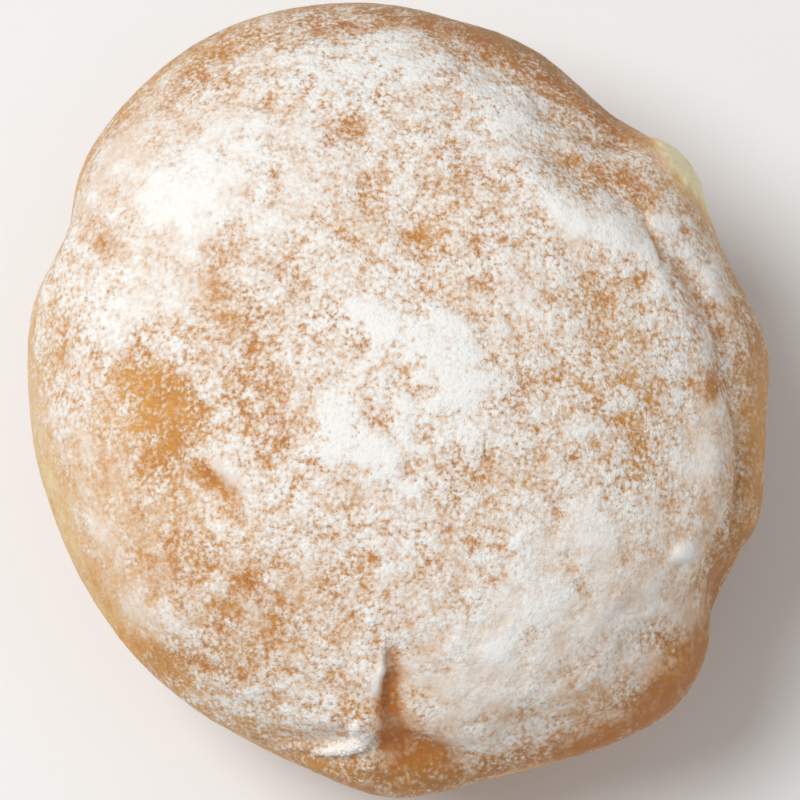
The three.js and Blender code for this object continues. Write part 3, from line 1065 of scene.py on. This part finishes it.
def scatter(name, shape, count, sizes, odds, seeding, draws):
    """Crumbs of many sizes at random places of the dough, by the odds of each triangle."""
    odds = odds * seeding.areas
    places = draws.choice(len(odds), count, p=odds / odds.sum())
    shares = draws.dirichlet((1, 1, 1), count)
    normals = seeding.normals[places]
    middles = np.einsum("nk,nkd->nd", shares, seeding.corners[places]) - CRUMB_SINKING * sizes[1] * normals
    grain_sizes = draws.uniform(*sizes, (count, 1)) * draws.uniform(*CRUMB_FORMS, (count, 3))
    return rough_copies(name, shape, CRUMB_ROUGHNESS, middles, normals, grain_sizes, draws)


def finish_loose_sugar(piece, sugar):
    """Gives a piece of loose sugar its material and its body."""
    piece.data.materials.append(loose_sugar_finish(piece.name, sugar))
    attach(piece, "root")


class BERLINER_OT_sugar(bpy.types.Operator):
    """Lay the icing sugar that stands off the crust: crumbs and caked lumps"""

    bl_idname = "berliner.sugar"
    bl_label = "Icing Sugar"

    def execute(self, context):
        sugar = context.scene.berliner_sugar
        draws = np.random.default_rng(sugar.seed)
        dough = bpy.data.objects["fried_dough"]
        seeding = seeding_of(dough)
        pebble = ball(subdivisions=1)
        boulder = ball(subdivisions=3)

        skin = Skin(dough, PhotoView(context.scene.berliner_stage))
        odds = seeding.mean(ramp(skin.patches(CRUMB_SPOTS), *CRUMB_EDGE))
        sizes = sugar.least_crumb, sugar.most_crumb
        crumbs = scatter("sugar_crumbs", pebble, sugar.crumb_count, sizes, odds, seeding, draws)
        finish_loose_sugar(crumbs, sugar)

        middles = np.array([skin.at(lump.pixel) for lump in CAKED_LUMPS])
        normals = np.array([skin.tree.find_nearest(middle)[1] for middle in middles])
        sizes = 2 * MM * np.array([(lump.long, lump.wide, lump.amount) for lump in CAKED_LUMPS])
        lumps = rough_copies("sugar_lumps", boulder, LUMP_ROUGHNESS, middles, normals, sizes, draws)
        finish_loose_sugar(lumps, sugar)
        return {"FINISHED"}


def area_light(name, place, power):
    """A soft light that shines on the doughnut."""
    bpy.ops.object.light_add(type="AREA", location=place)
    light = bpy.context.active_object
    light.name = name
    light.data.shape = "DISK"
    light.data.size = LIGHT_SIZE
    light.data.energy = power
    light.rotation_euler = Vector(place).to_track_quat("Z", "Y").to_euler()


def floor_finish(stage):
    """A plain pale table top."""
    finish = Finish("pale_floor")
    return finish.done({"Base Color": opaque(stage.floor), "Roughness": 0.9})


class BERLINER_OT_stage(bpy.types.Operator):
    """Set the camera of the photograph, the pale floor and the soft light"""

    bl_idname = "berliner.stage"
    bl_label = "Stage"

    def execute(self, context):
        stage = context.scene.berliner_stage
        view = PhotoView(stage)
        bpy.ops.object.select_all(action="DESELECT")
        bpy.ops.object.camera_add(location=view.place)
        camera = bpy.context.active_object
        camera.name = "photo_camera"
        camera.rotation_euler = view.back.to_track_quat("Z", "Y").to_euler()
        camera.data.sensor_width = SENSOR
        camera.data.lens = stage.lens
        camera.data.clip_start = 0.01
        context.scene.camera = camera

        bpy.ops.mesh.primitive_plane_add(size=FLOOR_SIDE, location=(0, 0, -FLOOR_GAP))
        floor = bpy.context.active_object
        floor.name = "floor"
        floor.data.materials.append(floor_finish(stage))

        area_light("key", stage.key_place, stage.key_power)
        area_light("fill", stage.fill_place, stage.fill_power)
        world = bpy.data.worlds.new("studio")
        world.use_nodes = True
        background = world.node_tree.nodes["Background"]
        background.inputs["Color"].default_value = (1, 1, 1, 1)
        background.inputs["Strength"].default_value = stage.sky
        context.scene.world = world
        context.scene.view_settings.view_transform = "Standard"
        return {"FINISHED"}


class BERLINER_PT_panel(bpy.types.Panel):
    """Lists the pieces and the settings of the berliner"""

    bl_idname = "BERLINER_PT_panel"
    bl_label = "Mini Berliner"
    bl_space_type = "VIEW_3D"
    bl_region_type = "UI"
    bl_category = "Berliner"

    def draw(self, context):
        for operator, settings in STEPS:
            box = self.layout.box()
            box.operator(operator.bl_idname)
            group = getattr(context.scene, settings)
            for name in group.__annotations__:
                box.prop(group, name)


STEPS = (
    (BERLINER_OT_dough, "berliner_dough"),
    (BERLINER_OT_sugar, "berliner_sugar"),
    (BERLINER_OT_stage, "berliner_stage"),
)
GROUPS = {
    "berliner_dough": BERLINER_PG_dough,
    "berliner_sugar": BERLINER_PG_sugar,
    "berliner_stage": BERLINER_PG_stage,
}
CLASSES = (*GROUPS.values(), *(operator for operator, settings in STEPS), BERLINER_PT_panel)


def register():
    """Adds the classes, and their settings to every scene."""
    for cls in CLASSES:
        bpy.utils.register_class(cls)
    for name, group in GROUPS.items():
        setattr(bpy.types.Scene, name, PointerProperty(type=group))


def unregister():
    """Takes the settings and the classes away again."""
    for name in GROUPS:
        delattr(bpy.types.Scene, name)
    for cls in reversed(CLASSES):
        bpy.utils.unregister_class(cls)


def main():
    """Makes every piece and the stage."""
    register()
    bpy.ops.berliner.dough()
    bpy.ops.berliner.sugar()
    bpy.ops.berliner.stage()


if __name__ == "__main__":
    main()
